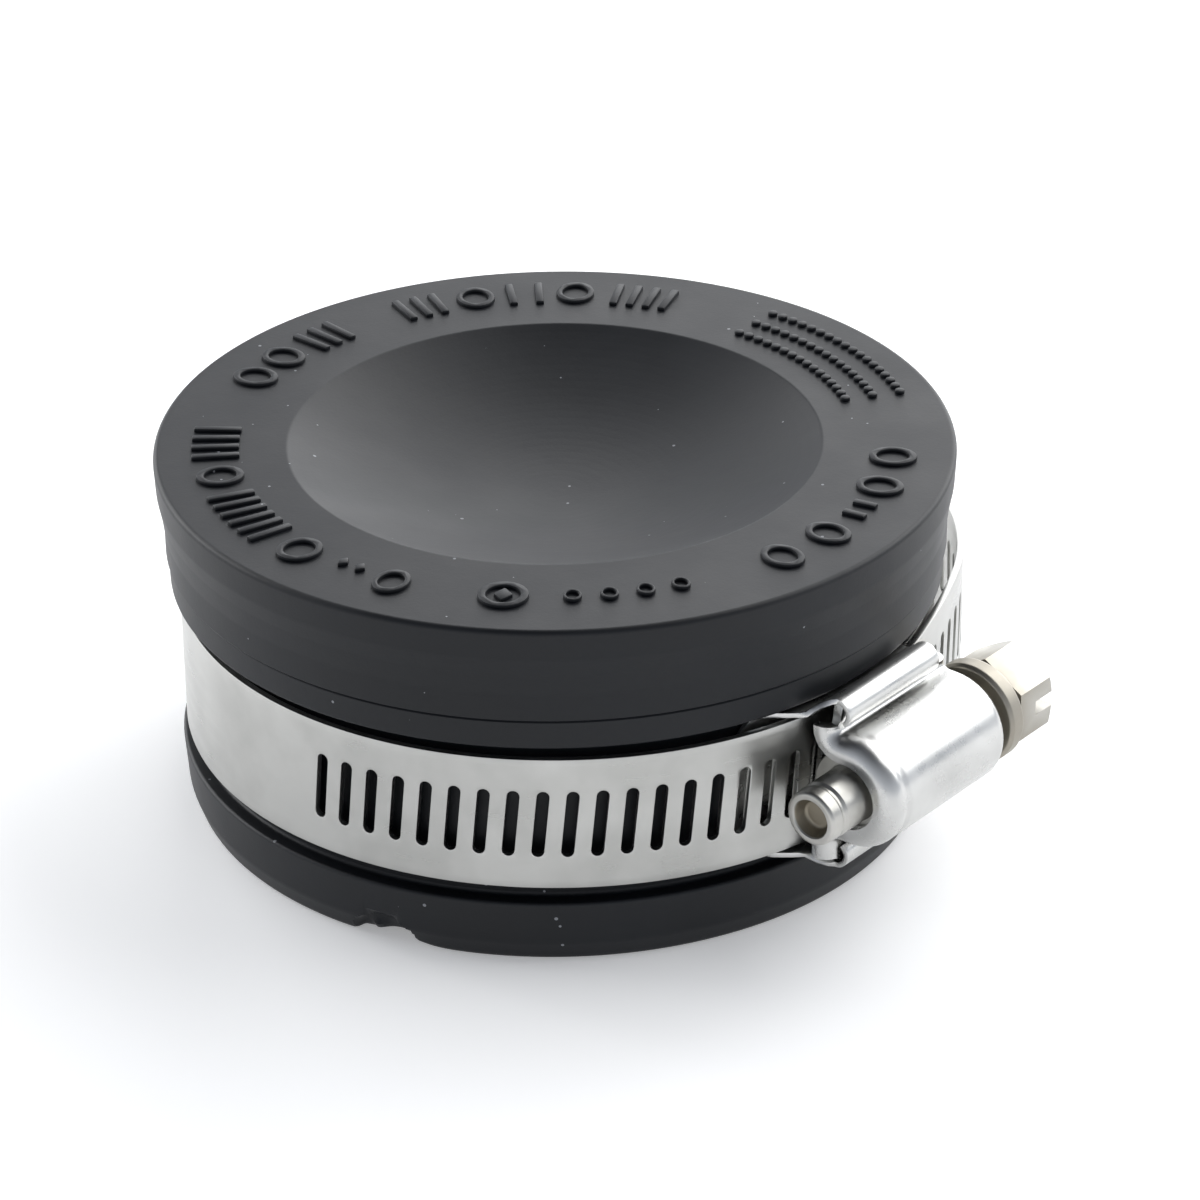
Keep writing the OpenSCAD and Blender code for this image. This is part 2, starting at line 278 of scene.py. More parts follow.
def settled(source):  # the evaluated mesh of an object, in mm, as a bmesh; the object is removed
    bpy.context.view_layer.update()
    evaluated = source.evaluated_get(bpy.context.evaluated_depsgraph_get())
    mesh = bpy.data.meshes.new_from_object(evaluated)
    bm = bmesh.new()
    bm.from_mesh(mesh)
    bmesh.ops.scale(bm, vec=(1 / mm, 1 / mm, 1 / mm), verts=bm.verts)
    bpy.data.objects.remove(source)
    bpy.data.meshes.remove(mesh)
    return bm


def thickened(bm, thickness):  # gives a sheet its wall, half to each side
    bmesh.ops.recalc_face_normals(bm, faces=bm.faces)
    sheet = asObject(bm, "sheet", None)
    wall = sheet.modifiers.new("wall", "SOLIDIFY")
    wall.thickness = thickness * mm
    wall.offset = 0
    solid = settled(sheet)
    outward(solid)
    return solid


# geometry node helpers
def newTree(name, sizes, others=()):  # sizes are float inputs with defaults; others are (name, socket type)
    tree = bpy.data.node_groups.new(name, "GeometryNodeTree")
    for label, value in sizes.items():
        kind = "NodeSocketInt" if isinstance(value, int) else "NodeSocketFloat"
        tree.interface.new_socket(label, in_out="INPUT", socket_type=kind).default_value = value
    for label, kind in others:
        tree.interface.new_socket(label, in_out="INPUT", socket_type=kind)
    tree.interface.new_socket("Geometry", in_out="OUTPUT", socket_type="NodeSocketGeometry")
    return tree, addNode(tree, "NodeGroupInput").outputs


def calculate(tree, operation, *values):  # one Math node; values are numbers or sockets
    node = addNode(tree, "ShaderNodeMath", {"operation": operation})
    for i, value in enumerate(values):
        if isinstance(value, bpy.types.NodeSocket):
            tree.links.new(value, node.inputs[i])
        else:
            node.inputs[i].default_value = value
    return node.outputs[0]


def endTree(tree, geometry, material):
    real = addNode(tree, "GeometryNodeRealizeInstances", links={"Geometry": geometry})
    links = {"Geometry": real.outputs[0], "Material": material}
    finish = addNode(tree, "GeometryNodeSetMaterial", links=links)
    addNode(tree, "NodeGroupOutput", links={0: finish.outputs[0]})


def grow(tree, values):  # runs a tree on an empty object, and gives the result as a bmesh in mm
    holder = addObject(tree.name, bpy.data.meshes.new(tree.name))
    modifier = holder.modifiers.new(tree.name, "NODES")
    modifier.node_group = tree
    for item in tree.interface.items_tree:
        if item.in_out == "INPUT" and item.name in values:
            modifier[item.identifier] = values[item.name]
    return settled(holder)


# materials
def mouldedRubber():  # black PVC-based rubber from a mould: matt, a little grey where it catches the sky
    material, tree, shader = newMaterial("mouldedRubber")
    place = addNode(tree, "ShaderNodeTexCoord").outputs["Object"]
    inMm = addNode(tree, "ShaderNodeMapping", {"Scale": (1000, 1000, 1000)}, {"Vector": place}).outputs[0]
    cloud = addNode(tree, "ShaderNodeTexNoise", {"Scale": 0.11, "Detail": 3.0}, {"Vector": inMm}).outputs[0]
    bloom = addNode(tree, "ShaderNodeValToRGB", links={0: cloud})  # patches of faint bloom, some 9 mm across
    bloom.color_ramp.elements[0].position = 0.35
    bloom.color_ramp.elements[0].color = linear("#0a0d12")
    bloom.color_ramp.elements[1].position = 0.68
    bloom.color_ramp.elements[1].color = linear("#101318")
    # dust, at most one fleck in a 2 mm cell
    cells = addNode(tree, "ShaderNodeTexVoronoi", {"Scale": 0.5}, {"Vector": inMm})
    chance = addNode(tree, "ShaderNodeSeparateColor", links={0: cells.outputs["Color"]}).outputs
    reach = calculate(tree, "MULTIPLY", chance[1], 0.08)  # so that no two flecks are the same size
    near = calculate(tree, "LESS_THAN", cells.outputs["Distance"], reach)
    fleck = calculate(tree, "MULTIPLY", near, calculate(tree, "GREATER_THAN", chance[0], 0.4))
    dusty = addNode(tree, "ShaderNodeMix", {"data_type": "RGBA"}, {0: fleck, 6: bloom.outputs[0]})
    dusty.inputs[7].default_value = linear("#808286")
    tree.links.new(dusty.outputs[2], shader.inputs["Base Color"])
    grain = addNode(tree, "ShaderNodeTexNoise", {"Scale": 3.2, "Detail": 4.0}, {"Vector": inMm}).outputs[0]
    rough = addNode(tree, "ShaderNodeMapRange", {"To Min": 0.42, "To Max": 0.56}, {0: cloud}).outputs[0]
    tree.links.new(rough, shader.inputs["Roughness"])
    flow = addNode(tree, "ShaderNodeTexNoise", {"Scale": 0.35, "Detail": 2.0}, {"Vector": inMm}).outputs[0]
    height = calculate(tree, "ADD", calculate(tree, "MULTIPLY", grain, 0.35), flow)
    bump = addNode(tree, "ShaderNodeBump", {"Strength": 0.35, "Distance": 0.00006}, {"Height": height})
    tree.links.new(bump.outputs[0], shader.inputs["Normal"])
    shader.inputs["Specular IOR Level"].default_value = 0.34
    return material


def steel(name, low, high, roughLow, roughHigh, runs, tarnishColour=None):
    material, tree, shader = newMaterial(name)
    if runs:  # grain along the strip, from the place that each point had while it lay flat
        place = addNode(tree, "ShaderNodeAttribute", {"attribute_name": "strip"}).outputs["Vector"]
        stretch = (0.03, 3.5, 1)
    else:
        place = addNode(tree, "ShaderNodeTexCoord").outputs["Object"]
        stretch = (700, 700, 700)
    laid = addNode(tree, "ShaderNodeMapping", {"Scale": stretch}, {"Vector": place}).outputs[0]
    lines = addNode(tree, "ShaderNodeTexNoise", {"Scale": 1.0, "Detail": 3.0}, {"Vector": laid}).outputs[0]
    objectPlace = addNode(tree, "ShaderNodeTexCoord").outputs["Object"]
    wide = addNode(tree, "ShaderNodeMapping", {"Scale": (160, 160, 160)}, {"Vector": objectPlace}).outputs[0]
    smear = addNode(tree, "ShaderNodeTexNoise", {"Scale": 1.0, "Detail": 3.0}, {"Vector": wide}).outputs[0]
    shade = addNode(tree, "ShaderNodeValToRGB", links={0: smear})
    shade.color_ramp.elements[0].position = 0.36
    shade.color_ramp.elements[0].color = linear(low)
    shade.color_ramp.elements[1].position = 0.62
    shade.color_ramp.elements[1].color = linear(high)
    colour = shade.outputs[0]
    mixed = calculate(tree, "MULTIPLY", calculate(tree, "ADD", lines, smear), 0.5)
    limits = {"From Min": 0.35, "From Max": 0.65, "To Min": roughLow, "To Max": roughHigh}
    rough = addNode(tree, "ShaderNodeMapRange", limits, {0: mixed}).outputs[0]
    if tarnishColour:
        stain = addNode(tree, "ShaderNodeAttribute", {"attribute_name": "tarnish"}).outputs["Fac"]
        stained = addNode(tree, "ShaderNodeMix", {"data_type": "RGBA"}, {0: stain, 6: colour})
        stained.inputs[7].default_value = linear(tarnishColour)
        colour = stained.outputs[2]
        rough = calculate(tree, "ADD", rough, calculate(tree, "MULTIPLY", stain, 0.12))
    tree.links.new(colour, shader.inputs["Base Color"])
    tree.links.new(rough, shader.inputs["Roughness"])
    bump = addNode(tree, "ShaderNodeBump", {"Strength": 0.25, "Distance": 0.00002}, {"Height": lines})
    tree.links.new(bump.outputs[0], shader.inputs["Normal"])
    shader.inputs["Metallic"].default_value = 1
    return material


rubber = mouldedRubber()
# cold-rolled stainless strip: a satin grey with fine lines along its length
rolledStrip = steel("rolledStainlessStrip", "#b0b0ad", "#bcbcb9", 0.26, 0.38, runs=True)
# pressed stainless sheet, tumbled after folding: brighter, with faint scuffs and no direction
pressedSheet = steel("pressedStainlessSheet", "#c2c2c0", "#d0d0ce", 0.24, 0.34, runs=False)
# turned and zinc-plated screw: duller than the sheet, and brownish where oil has dried
turnedScrew = steel("turnedZincSteel", "#b4b3ae", "#cbcac6", 0.28, 0.42, runs=False, tarnishColour="#8e8779")
print("materials made")


# the cap
cap = {
    "bottomR": 33.55,
    "bead": [(34.3, 2.1), (34.6, 6.3)],  # radius and height at two levels
    "grooveR": 33.1,
    "groove": (6.3, 21.95),  # heights of the clamp's groove
    "lip": [(35.0, 21.95), (35.05, 24.55), (34.88, 24.72), (35.28, 24.9)],  # with the mould's step line
    "flare": [(35.3, 27.4), (35.55, 29.4), (35.86, 31.0)],
    "rimR": 36.0,
    "topZ": 33.85,
    "rimRound": 0.45,
    "dishR": 24.0,
    "dishDepth": 5.5,
    "gateAngle": -77.0,  # where the mould's gate was cut off
    "columns": (2.0, 0.4),  # degrees from one to the next, away from the gate mark and at it
    "gateReach": 12.0,  # degrees to each side with closer columns
}
gate = {  # the shell-shaped hollow that is left there, in mm
    "reach": 7.0,
    "top": 5.0,
    "halfWidth": 3.1,
    "level": 0.3,
    "rise": 2.5,
    "depth": 0.95,
    "steepness": 4.5,
    "nub": (-0.6, 1.0, 0.7, 0.85),  # across, height, size and how far it stands out
    "bite": (1.2, 2.6, 2.2, 0.75),  # across, width, height it ends at, and depth
    "fade": (0.6, 1.6),  # out from the socket where the mark begins, and over which it grows
}


def gateColumns():  # directions round the cap, closer together at the gate mark
    coarse, fine = cap["columns"]
    angles = []
    angle = cap["gateAngle"] - 180
    while angle < cap["gateAngle"] + 180 - fine / 2:
        angles.append(angle)
        offGate = abs(angle + coarse / 2 - cap["gateAngle"])
        angle += fine if offGate < cap["gateReach"] else coarse
    return angles


def gateScoop(angle, radius, height):  # how far the cut-off gate takes a point inwards and upwards
    across = math.radians(angle - cap["gateAngle"]) * radius  # mm round the cap
    if abs(across) > gate["reach"] or height > gate["top"]:
        return 0.0, 0.0
    scoop = 1 - (across / gate["halfWidth"]) ** 2 - ((height - gate["level"]) / gate["rise"]) ** 2
    hollow = gate["depth"] * min(1.0, max(0.0, scoop) * gate["steepness"])
    nubX, nubZ, nubSize, nubHeight = gate["nub"]
    nub = nubHeight * math.exp(-((across - nubX) / nubSize) ** 2 - ((height - nubZ) / nubSize) ** 2)
    biteX, biteWidth, biteTop, biteDepth = gate["bite"]
    bite = biteDepth * math.exp(-((across - biteX) / biteWidth) ** 2) * max(0.0, 1 - height / biteTop)
    return hollow - nub, bite


def capOutline():
    ball = (cap["dishR"] ** 2 + cap["dishDepth"] ** 2) / (2 * cap["dishDepth"])
    centre = cap["topZ"] - cap["dishDepth"] + ball
    widest = math.degrees(math.asin(cap["dishR"] / ball))
    low, high = cap["groove"]
    corners = [(0, socketDepth, 0), (socketR, socketDepth, 1.5), (socketR, 1.0, 0.4), (socketR + 0.6, 0, 0.2)]
    corners += [(cap["bottomR"], 0, 0.9), (*cap["bead"][0], 1.6), (*cap["bead"][1], 0.3)]
    corners += [(cap["grooveR"], low, 0.35), (cap["grooveR"], high, 0.35)]
    corners += [(*spot, rounding) for spot, rounding in zip(cap["lip"], (0.3, 0.05, 0.05, 0.08))]
    corners += [(r, z, 2.0) for r, z in cap["flare"]]
    corners += [(cap["rimR"], cap["topZ"], cap["rimRound"]), (cap["dishR"], cap["topZ"], 0.5)]
    steps = 24
    turns = [math.radians(widest * (1 - k / steps)) for k in range(1, steps + 1)]
    corners += [(ball * math.sin(t), centre - ball * math.cos(t), 0) for t in turns]
    return roundedLine(corners, longest=1.1)


def makeMarks():  # raised marks round the dish, in place of lettering
    sizes = {"Count": 1, "Sides": 4, "Upright": 0.0, "Hollow": 0.0, "First": 0.0, "Step": 0.1, "Radius": 0.03}
    sizes |= {"Along": 0.001, "Across": 0.004, "Level": 0.0, "Height": 0.0004}
    tree, sockets = newTree("raisedMarks", sizes, [("Material", "NodeSocketMaterial")])
    line = addNode(tree, "GeometryNodeMeshLine", {"Offset": (0, 0, 0)}, {"Count": sockets["Count"]})
    index = addNode(tree, "GeometryNodeInputIndex").outputs[0]
    angle = calculate(tree, "MULTIPLY_ADD", index, sockets["Step"], sockets["First"])
    x = calculate(tree, "MULTIPLY", calculate(tree, "SINE", angle), sockets["Radius"])
    inwards = calculate(tree, "MULTIPLY", sockets["Radius"], -1)
    y = calculate(tree, "MULTIPLY", calculate(tree, "COSINE", angle), inwards)
    spot = addNode(tree, "ShaderNodeCombineXYZ", links={0: x, 1: y, 2: sockets["Level"]}).outputs[0]
    ring = addNode(tree, "GeometryNodeSetPosition", links={"Geometry": line.outputs[0], "Position": spot})
    radius = calculate(tree, "MULTIPLY_ADD", sockets["Upright"], math.sqrt(0.5) - 0.5, 0.5)
    links = {"Vertices": sockets["Sides"], "Radius": radius}
    block = addNode(tree, "GeometryNodeMeshCylinder", {"Depth": 1}, links)
    inner = calculate(tree, "MULTIPLY", sockets["Hollow"], 0.5)
    links = {"Vertices": sockets["Sides"], "Radius": inner}
    core = addNode(tree, "GeometryNodeMeshCylinder", {"Depth": 2}, links)
    bored = addNode(tree, "GeometryNodeMeshBoolean", {"operation": "DIFFERENCE"})
    tree.links.new(block.outputs[0], bored.inputs[0])
    tree.links.new(core.outputs[0], bored.inputs[1])
    isHollow = calculate(tree, "GREATER_THAN", sockets["Hollow"], 0.0)
    solid = addNode(tree, "GeometryNodeSwitch", {"input_type": "GEOMETRY"}, {0: isHollow})
    tree.links.new(block.outputs[0], solid.inputs[1])
    tree.links.new(bored.outputs[0], solid.inputs[2])
    quarter = calculate(tree, "MULTIPLY", sockets["Upright"], math.pi / 4)
    turned = addNode(tree, "ShaderNodeCombineXYZ", links={2: quarter}).outputs[0]
    shape = addNode(tree, "GeometryNodeTransform", links={"Geometry": solid.outputs[0], "Rotation": turned})
    facing = addNode(tree, "ShaderNodeCombineXYZ", links={2: angle}).outputs[0]
    size = {0: sockets["Along"], 1: sockets["Across"], 2: sockets["Height"]}
    scale = addNode(tree, "ShaderNodeCombineXYZ", links=size).outputs[0]
    links = {"Points": ring.outputs[0], "Instance": shape.outputs[0], "Rotation": facing, "Scale": scale}
    copies = addNode(tree, "GeometryNodeInstanceOnPoints", links=links)
    endTree(tree, copies.outputs[0], sockets["Material"])
    return tree


marks = {
    "height": 0.35,
    "sunk": 0.15,  # how far a mark's foot goes into the rubber
    "edgeRound": 0.14,
    "rows": [  # kind, first angle, last angle, count, radius, size along, size across
        ("bars", 109.5, 119.0, 4, 30.4, 0.75, 4.3),
        ("rings", 126.5, 144.5, 2, 30.4, 3.6, 4.3),
        ("bars", 133.0, 138.0, 2, 30.4, 0.75, 4.3),
        ("bars", 151.5, 158.0, 3, 30.4, 0.75, 4.3),
        ("bars", 172.0, 178.5, 3, 30.4, 0.75, 4.3),
        ("rings", 186.0, 195.0, 2, 30.4, 3.6, 4.3),
        ("bars", 216.0, 226.0, 4, 30.4, 0.75, 4.3),
        ("rings", 233.5, 233.5, 1, 30.4, 3.6, 4.3),
        ("bars", 241.0, 256.0, 6, 30.4, 0.75, 4.3),
        ("rings", 264.0, 264.0, 1, 30.4, 3.8, 4.3),
        ("diamonds", 272.5, 276.0, 2, 29.6, 1.1, 1.5),
        ("rings", 283.0, 283.0, 1, 30.4, 3.2, 4.0),
        ("rings", -10.0, 1.0, 2, 30.4, 3.4, 4.3),
        ("bars", 9.0, 13.0, 2, 30.4, 0.75, 2.2),
        ("rings", 20.0, 31.0, 2, 30.4, 3.4, 4.3),
        ("dots", 55.0, 91.0, 16, 27.3, 0.9, 0.9),
        ("dots", 55.0, 91.0, 17, 29.9, 0.9, 0.9),
        ("dots", 55.0, 91.0, 18, 32.5, 0.9, 0.9),
        ("rings", -47.0, -29.0, 4, 30.0, 1.6, 2.0),
        ("rings", -58.2, -58.2, 1, 30.0, 4.4, 4.4),
        ("diamonds", -58.2, -58.2, 1, 30.0, 1.7, 2.2),
    ],
}
kinds = {  # sides, whether a side faces outwards, and the hole's share of the width
    "bars": (4, 1.0, 0.0),
    "diamonds": (4, 0.0, 0.0),
    "dots": (16, 0.0, 0.0),
    "rings": (24, 0.0, 0.68),
}


def makeCap():
    bm = bmesh.new()
    fadeFrom, fadeOver = gate["fade"]

    def place(radius, height, angle):
        inwards, upwards = gateScoop(angle, radius, height)
        share = min(1.0, max(0.0, (radius - socketR - fadeFrom) / fadeOver))
        return outwards(angle) * (radius - inwards * share) + Vector((0, 0, height + upwards * share))

    spin(bm, capOutline(), gateColumns(), place)
    outward(bm)
    tree = makeMarks()
    for kind, first, last, count, radius, along, across in marks["rows"]:
        sides, upright, hollow = kinds[kind]
        step = math.radians(last - first) / max(1, count - 1)
        values = {"Count": count, "First": math.radians(first), "Step": step, "Radius": radius * mm}
        values |= {"Sides": sides, "Upright": upright, "Hollow": hollow, "Material": rubber}
        values |= {"Along": along * mm, "Across": across * mm}
        values |= {"Height": (marks["height"] + marks["sunk"]) * mm}
        values |= {"Level": (cap["topZ"] + (marks["height"] - marks["sunk"]) / 2) * mm}
        row = grow(tree, values)
        softenEdges(row, marks["edgeRound"])
        absorb(bm, row)
    piece = asObject(bm, "rubberCap", rubber)
    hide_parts("rubber_cap")
    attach(piece, "cap")


makeCap()
print("cap made")


# the clamp band, drawn flat as a row of cells one slot pitch long, then bent along its path
band = {
    "thickness": 0.6,
    "width": 12.7,
    "pitch": 2.54,
    "radius": 34.3,  # of the middle of its thickness
    "slotWidth": 1.1,
    "slotLength": 6.5,
    "slotLean": 5.6,  # degrees
    "blockTop": 4.2,  # half the height of the stretch that a slot's rows of points fill
    "firstCell": -43,  # cells from the middle of the housing; the loop's two stretches meet here
    "slots": (-21, 17),  # the slotted cells, first and one past the last
    "endFrom": 17,  # the cell where the free end's rounded piece starts
    "tailEnd": 48.0,  # mm from the middle of the housing
    "tailRound": 3.0,
    "springFrom": 10.16,  # where the free end starts to leave the loop
    "springLength": 12.0,
    "springRadius": 90.0,
    "tailRadius": 30.0,
    "edgeRound": 0.07,
    "weld": 0.01,  # points closer than this are one
}
fixedRun = {
    "from": -11.0,  # degrees
    "underRadius": 33.55,
    "riseFrom": 37.0,
    "riseTo": 76.0,
    "cells": 44,
    "bendFrom": 50.0,  # degrees
    "bendTo": 170.0,
}


def slotCurve(angles):  # points on a slot's round end, at angles in degrees
    arc = band["slotWidth"] / 2
    straight = band["slotLength"] / 2 - arc
    turns = [math.radians(angle) for angle in angles]
    return [(arc * math.cos(turn), straight + arc * math.sin(turn)) for turn in turns]


def slotSide():  # a slot's right edge from its middle up to where its round end is at 45 degrees
    arc, straight = slotCurve([0])[0]
    return [(arc, straight * k / 4) for k in range(5)] + slotCurve([22.5, 45])


def rowLevels():  # heights of the rows of points across half a cell, from the middle up to the block's top
    levels = [height for across, height in slotSide()]
    return [level * band["blockTop"] / levels[-1] for level in levels]


def flatGrid(bm, columns, halfWidth):  # a plain stretch; halfWidth gives the strip's half width at a column
    inner = rowLevels()
    half = band["width"] / 2
    upper = inner[1:] + [inner[-1] + (half - inner[-1]) * k / 3 for k in (1, 2, 3)]
    levels = [-v for v in reversed(upper)] + [0.0] + upper
    rows = [[bm.verts.new((x, 0, level * halfWidth(x) / half)) for x in columns] for level in levels]
    gridFaces(bm, rows)


def slotCell(bm):
    half = band["pitch"] / 2
    levels = rowLevels()
    right = slotSide()
    top = slotCurve([67.5, 90, 112.5])
    hole = right + top + [(-x, y) for x, y in reversed(right)]
    hole += [(-x, -y) for x, y in right[1:] + top] + [(x, -y) for x, y in reversed(right[1:])]
    rim = [(half, v) for v in levels] + [(half * k / 2, levels[-1]) for k in (1, 0, -1)]
    rim += [(-half, v) for v in reversed(levels)] + [(-half, -v) for v in levels[1:]]
    rim += [(half * k / 2, -levels[-1]) for k in (-1, 0, 1)] + [(half, -v) for v in reversed(levels[1:])]
    lean = Matrix.Rotation(-math.radians(band["slotLean"]), 2)
    leaning = [lean @ Vector(point) for point in hole]
    rings = []
    for share in (0.0, 0.3, 1.0):
        ring = [(a + (c - a) * share, b + (d - b) * share) for (a, b), (c, d) in zip(leaning, rim)]
        rings.append([bm.verts.new((x, 0, z)) for x, z in ring])
    gridFaces(bm, rings, closed=True)
    edge = band["width"] / 2
    for sign in (-1, 1):
        heights = [levels[-1] + (edge - levels[-1]) * k / 3 for k in range(4)]
        rows = [[bm.verts.new((half * k / 2, 0, sign * h)) for k in range(-2, 3)] for h in heights]
        gridFaces(bm, rows)
    bmesh.ops.remove_doubles(bm, verts=bm.verts, dist=band["weld"])


def cellObject(name, build):
    bm = bmesh.new()
    build(bm)
    return asObject(bm, name, None)


def pathObject(name, points):  # a fine line in mm that the strip is bent along
    curve = bpy.data.curves.new(name, "CURVE")
    curve.dimensions = "3D"
    line = curve.splines.new("POLY")
    line.points.add(len(points) - 1)
    for spot, point in zip(line.points, points):
        spot.co = (*(point * mm), 1)
    return addObject(name, curve)


def makeStripTree():
    sizes = {"Pitch": band["pitch"] * mm, "First": 0, "Cells": 10, "Slots from": 0, "Slots to": 0}
    sizes |= {"Grain shift": 0.0}  # mm, so that the grain runs on from one stretch to the other
    others = [(label, "NodeSocketObject") for label in ("Slot cell", "Plain cell", "End cell", "Path")]
    tree, sockets = newTree("slottedStrip", sizes, others + [("Material", "NodeSocketMaterial")])
    index = addNode(tree, "GeometryNodeInputIndex").outputs[0]
    cell = calculate(tree, "ADD", index, sockets["First"])
    x = calculate(tree, "MULTIPLY", calculate(tree, "ADD", cell, 0.5), sockets["Pitch"])
    spot = addNode(tree, "ShaderNodeCombineXYZ", links={0: x}).outputs[0]
    line = addNode(tree, "GeometryNodeMeshLine", {"Offset": (0, 0, 0)}, {"Count": sockets["Cells"]})
    places = addNode(tree, "GeometryNodeSetPosition", links={"Geometry": line.outputs[0], "Position": spot})
    late = calculate(tree, "GREATER_THAN", cell, calculate(tree, "SUBTRACT", sockets["Slots from"], 0.5))
    early = calculate(tree, "LESS_THAN", cell, calculate(tree, "SUBTRACT", sockets["Slots to"], 0.5))
    slotted = calculate(tree, "MULTIPLY", late, early)
    plain = calculate(tree, "SUBTRACT", 1, slotted)
    parts = []
    for label, chosen in (("Slot cell", slotted), ("Plain cell", plain)):
        shape = addNode(tree, "GeometryNodeObjectInfo", links={"Object": sockets[label]}).outputs["Geometry"]
        links = {"Points": places.outputs[0], "Instance": shape, "Selection": chosen}
        parts.append(addNode(tree, "GeometryNodeInstanceOnPoints", links=links).outputs[0])
    end = addNode(tree, "GeometryNodeObjectInfo", links={"Object": sockets["End cell"]})
    parts.append(end.outputs["Geometry"])
    joined = addNode(tree, "GeometryNodeJoinGeometry")
    for part in parts:
        tree.links.new(part, joined.inputs[0])
    flat = addNode(tree, "GeometryNodeRealizeInstances", links={0: joined.outputs[0]}).outputs[0]
    merge = {"Distance": band["weld"] * mm}
    whole = addNode(tree, "GeometryNodeMergeByDistance", merge, {"Geometry": flat}).outputs[0]
    position = addNode(tree, "GeometryNodeInputPosition").outputs[0]
    scaling = {"operation": "SCALE", "Scale": 1 / mm}
    inMm = addNode(tree, "ShaderNodeVectorMath", scaling, {0: position}).outputs[0]
    shift = addNode(tree, "ShaderNodeCombineXYZ", links={0: sockets["Grain shift"]}).outputs[0]
    laid = addNode(tree, "ShaderNodeVectorMath", {"operation": "ADD"}, {0: inMm, 1: shift}).outputs[0]
    keep = {"data_type": "FLOAT_VECTOR", "Name": "strip"}
    links = {"Geometry": whole, "Value": laid}
    marked = addNode(tree, "GeometryNodeStoreNamedAttribute", keep, links).outputs[0]
    parted = addNode(tree, "ShaderNodeSeparateXYZ", links={0: position}).outputs
    start = calculate(tree, "MULTIPLY", sockets["First"], sockets["Pitch"])
    run = calculate(tree, "SUBTRACT", parted[0], start)
    path = addNode(tree, "GeometryNodeObjectInfo", links={"Object": sockets["Path"]}).outputs["Geometry"]
    sample = addNode(tree, "GeometryNodeSampleCurve", {"mode": "LENGTH"}, {"Curves": path, "Length": run})
    rise = addNode(tree, "ShaderNodeCombineXYZ", links={2: parted[2]}).outputs[0]
    links = {0: sample.outputs["Position"], 1: rise}
    place = addNode(tree, "ShaderNodeVectorMath", {"operation": "ADD"}, links)
    bent = addNode(tree, "GeometryNodeSetPosition", links={"Geometry": marked, "Position": place.outputs[0]})
    endTree(tree, bent.outputs[0], sockets["Material"])
    return tree


def aroundClamp(angle, radius):
    return clampCentre + outwards(angle) * radius


def bandPath(distance):  # the free stretch: round the loop, then springing away behind the housing
    loop, spring, tail = band["radius"], band["springRadius"], band["tailRadius"]
    a = math.degrees(min(distance, band["springFrom"]) / loop)
    spot = outwards(a) * loop
    sprung = min(max(distance - band["springFrom"], 0), band["springLength"])
    b = a + math.degrees(sprung / spring)
    spot += (outwards(b) - outwards(a)) * spring
    ending = max(distance - band["springFrom"] - band["springLength"], 0)
    c = b + math.degrees(ending / tail)
    spot += (outwards(c) - outwards(b)) * tail
    return clampCentre + spot


def fixedPath(angle):  # the fixed stretch: under the band in the housing, then out to the loop's own radius
    share = (angle - fixedRun["riseFrom"]) / (fixedRun["riseTo"] - fixedRun["riseFrom"])
    share = min(max(share, 0), 1)
    share = share * share * (3 - 2 * share)
    radius = fixedRun["underRadius"] + (band["radius"] - fixedRun["underRadius"]) * share
    return aroundClamp(angle, radius)


def polylineLength(points):
    return sum((b - a).length for a, b in zip(points, points[1:]))


